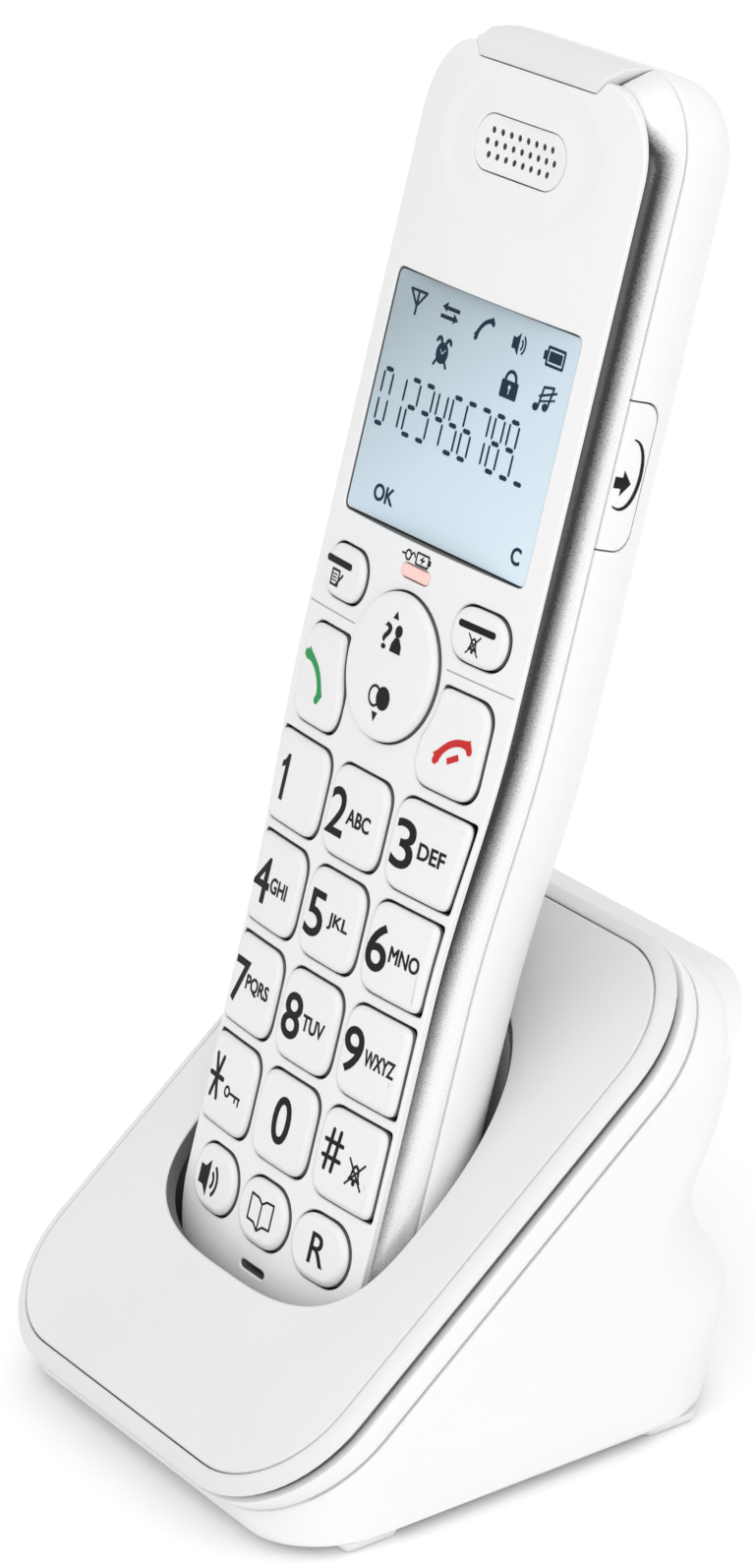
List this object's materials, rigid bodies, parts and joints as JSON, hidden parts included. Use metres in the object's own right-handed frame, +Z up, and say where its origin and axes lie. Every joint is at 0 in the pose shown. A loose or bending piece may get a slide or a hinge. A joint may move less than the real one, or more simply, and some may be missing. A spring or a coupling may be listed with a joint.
{
  "type": "cordless telephone with charging cradle",
  "caption": "Cordless phone handset with large keys, a display and an oval rocker key, standing tilted back in a sloped wedge-shaped charging cradle.",
  "frame": {"origin": "middle of the bounding box at the floor under the cradle", "axes": "+Z up, +X to the right seen from the keypad side, the keypad faces -Y and upwards"},
  "size_m": [0.0768, 0.0962, 0.1664],
  "materials": {
    "pearl": "semi-gloss light grey-white",
    "silver": "silver metallised plastic band",
    "lens": "faintly grey translucent lens",
    "white": "gloss white",
    "steel": "plated steel",
    "brass": "gold-coloured charging contact",
    "lcd_glass": "pale blue display",
    "dark": "black",
    "led": "pale pink light lens",
    "membrane": "silicone",
    "board": "circuit board",
    "cell_wrap": "cell sleeve",
    "satin": "fine satin light grey",
    "chrome": "chrome",
    "pad": "soft light grey pad"
  },
  "bodies": {
    "base": {"base_housing": "white", "top_panel": "satin", "top_rim": "white", "chrome_trim": "chrome", "top_band": "white", "cradle_cup": "white", "bottom_plate": "white", "base_screw_left": "steel", "base_screw_right": "steel", "foot_front_left": "pad", "foot_front_right": "pad", "foot_rear_left": "pad", "foot_rear_right": "pad", "base_pcb": "board", "power_inlet": "dark"},
    "handset": {"front_plate": "pearl", "side_trim_band": "silver", "ringer_light_lens": "lens", "rear_shell": "white", "handset_screw_left": "steel", "handset_screw_right": "steel", "charge_pad_left": "brass", "charge_pad_right": "brass", "lcd_window": "lcd_glass", "lcd_module": "dark", "charge_led_lens": "led", "earpiece_insert": "pearl", "earpiece_receiver": "steel", "keypad_membrane": "membrane", "handset_pcb": "board", "loudspeaker": "dark", "microphone": "steel", "battery_cell_left": "cell_wrap", "battery_cell_right": "cell_wrap", "battery_contact_low": "steel", "battery_contact_high": "steel"},
    "key_1": {"key_1": "white"},
    "key_2": {"key_2": "white"},
    "key_3": {"key_3": "white"},
    "key_4": {"key_4": "white"},
    "key_5": {"key_5": "white"},
    "key_6": {"key_6": "white"},
    "key_7": {"key_7": "white"},
    "key_8": {"key_8": "white"},
    "key_9": {"key_9": "white"},
    "key_star": {"key_star": "white"},
    "key_0": {"key_0": "white"},
    "key_hash": {"key_hash": "white"},
    "key_speaker": {"key_speaker": "white"},
    "key_phonebook": {"key_phonebook": "white"},
    "key_recall": {"key_recall": "white"},
    "softkey_left": {"softkey_left": "white"},
    "softkey_right": {"softkey_right": "white"},
    "talk_key": {"talk_key": "white"},
    "end_key": {"end_key": "white"},
    "nav_key": {"nav_key": "white"},
    "boost_key": {"boost_key": "white"},
    "battery_cover": {"battery_cover": "white"},
    "charge_pin_left": {"charge_pin_left": "brass"},
    "charge_pin_right": {"charge_pin_right": "brass"}
  },
  "joints": [
    {"name": "handset_lift", "type": "slide", "parent": "base", "child": "handset", "axis": [0, 0.3698, 0.9291], "range_m": [0, 0.07]},
    {"name": "key_1_press", "type": "slide", "parent": "handset", "child": "key_1", "axis": [0, 0.9291, -0.3698], "range_m": [0, 0.0007], "stiffness_N_per_m": 600},
    {"name": "key_2_press", "type": "slide", "parent": "handset", "child": "key_2", "axis": [0, 0.9291, -0.3698], "range_m": [0, 0.0007], "stiffness_N_per_m": 600},
    {"name": "key_3_press", "type": "slide", "parent": "handset", "child": "key_3", "axis": [0, 0.9291, -0.3698], "range_m": [0, 0.0007], "stiffness_N_per_m": 600},
    {"name": "key_4_press", "type": "slide", "parent": "handset", "child": "key_4", "axis": [0, 0.9291, -0.3698], "range_m": [0, 0.0007], "stiffness_N_per_m": 600},
    {"name": "key_5_press", "type": "slide", "parent": "handset", "child": "key_5", "axis": [0, 0.9291, -0.3698], "range_m": [0, 0.0007], "stiffness_N_per_m": 600},
    {"name": "key_6_press", "type": "slide", "parent": "handset", "child": "key_6", "axis": [0, 0.9291, -0.3698], "range_m": [0, 0.0007], "stiffness_N_per_m": 600},
    {"name": "key_7_press", "type": "slide", "parent": "handset", "child": "key_7", "axis": [0, 0.9291, -0.3698], "range_m": [0, 0.0007], "stiffness_N_per_m": 600},
    {"name": "key_8_press", "type": "slide", "parent": "handset", "child": "key_8", "axis": [0, 0.9291, -0.3698], "range_m": [0, 0.0007], "stiffness_N_per_m": 600},
    {"name": "key_9_press", "type": "slide", "parent": "handset", "child": "key_9", "axis": [0, 0.9291, -0.3698], "range_m": [0, 0.0007], "stiffness_N_per_m": 600},
    {"name": "key_star_press", "type": "slide", "parent": "handset", "child": "key_star", "axis": [0, 0.9291, -0.3698], "range_m": [0, 0.0007], "stiffness_N_per_m": 600},
    {"name": "key_0_press", "type": "slide", "parent": "handset", "child": "key_0", "axis": [0, 0.9291, -0.3698], "range_m": [0, 0.0007], "stiffness_N_per_m": 600},
    {"name": "key_hash_press", "type": "slide", "parent": "handset", "child": "key_hash", "axis": [0, 0.9291, -0.3698], "range_m": [0, 0.0007], "stiffness_N_per_m": 600},
    {"name": "key_speaker_press", "type": "slide", "parent": "handset", "child": "key_speaker", "axis": [0, 0.9291, -0.3698], "range_m": [0, 0.0007], "stiffness_N_per_m": 600},
    {"name": "key_phonebook_press", "type": "slide", "parent": "handset", "child": "key_phonebook", "axis": [0, 0.9291, -0.3698], "range_m": [0, 0.0007], "stiffness_N_per_m": 600},
    {"name": "key_recall_press", "type": "slide", "parent": "handset", "child": "key_recall", "axis": [0, 0.9291, -0.3698], "range_m": [0, 0.0007], "stiffness_N_per_m": 600},
    {"name": "softkey_left_press", "type": "slide", "parent": "handset", "child": "softkey_left", "axis": [0, 0.9291, -0.3698], "range_m": [0, 0.0007], "stiffness_N_per_m": 600},
    {"name": "softkey_right_press", "type": "slide", "parent": "handset", "child": "softkey_right", "axis": [0, 0.9291, -0.3698], "range_m": [0, 0.0007], "stiffness_N_per_m": 600},
    {"name": "talk_key_press", "type": "slide", "parent": "handset", "child": "talk_key", "axis": [0, 0.9291, -0.3698], "range_m": [0, 0.0007], "stiffness_N_per_m": 600},
    {"name": "end_key_press", "type": "slide", "parent": "handset", "child": "end_key", "axis": [0, 0.9291, -0.3698], "range_m": [0, 0.0007], "stiffness_N_per_m": 600},
    {"name": "nav_rock", "type": "hinge", "parent": "handset", "child": "nav_key", "pos_m": [0, 0.00463, 0.09361], "axis": [1, 0, 0], "range_deg": [-3, 3], "stiffness_Nm_per_rad": 0.08},
    {"name": "boost_key_press", "type": "slide", "parent": "handset", "child": "boost_key", "axis": [-1, 0, 0], "range_m": [0, 0.0006], "stiffness_N_per_m": 800},
    {"name": "battery_cover_off", "type": "slide", "parent": "handset", "child": "battery_cover", "axis": [0, 0.9291, -0.3698], "range_m": [0, 0.005]},
    {"name": "charge_pin_left_press", "type": "slide", "parent": "base", "child": "charge_pin_left", "axis": [0, -0.3698, -0.9291], "range_m": [0, 0.0012], "stiffness_N_per_m": 400},
    {"name": "charge_pin_right_press", "type": "slide", "parent": "base", "child": "charge_pin_right", "axis": [0, -0.3698, -0.9291], "range_m": [0, 0.0012], "stiffness_N_per_m": 400}
  ]
}
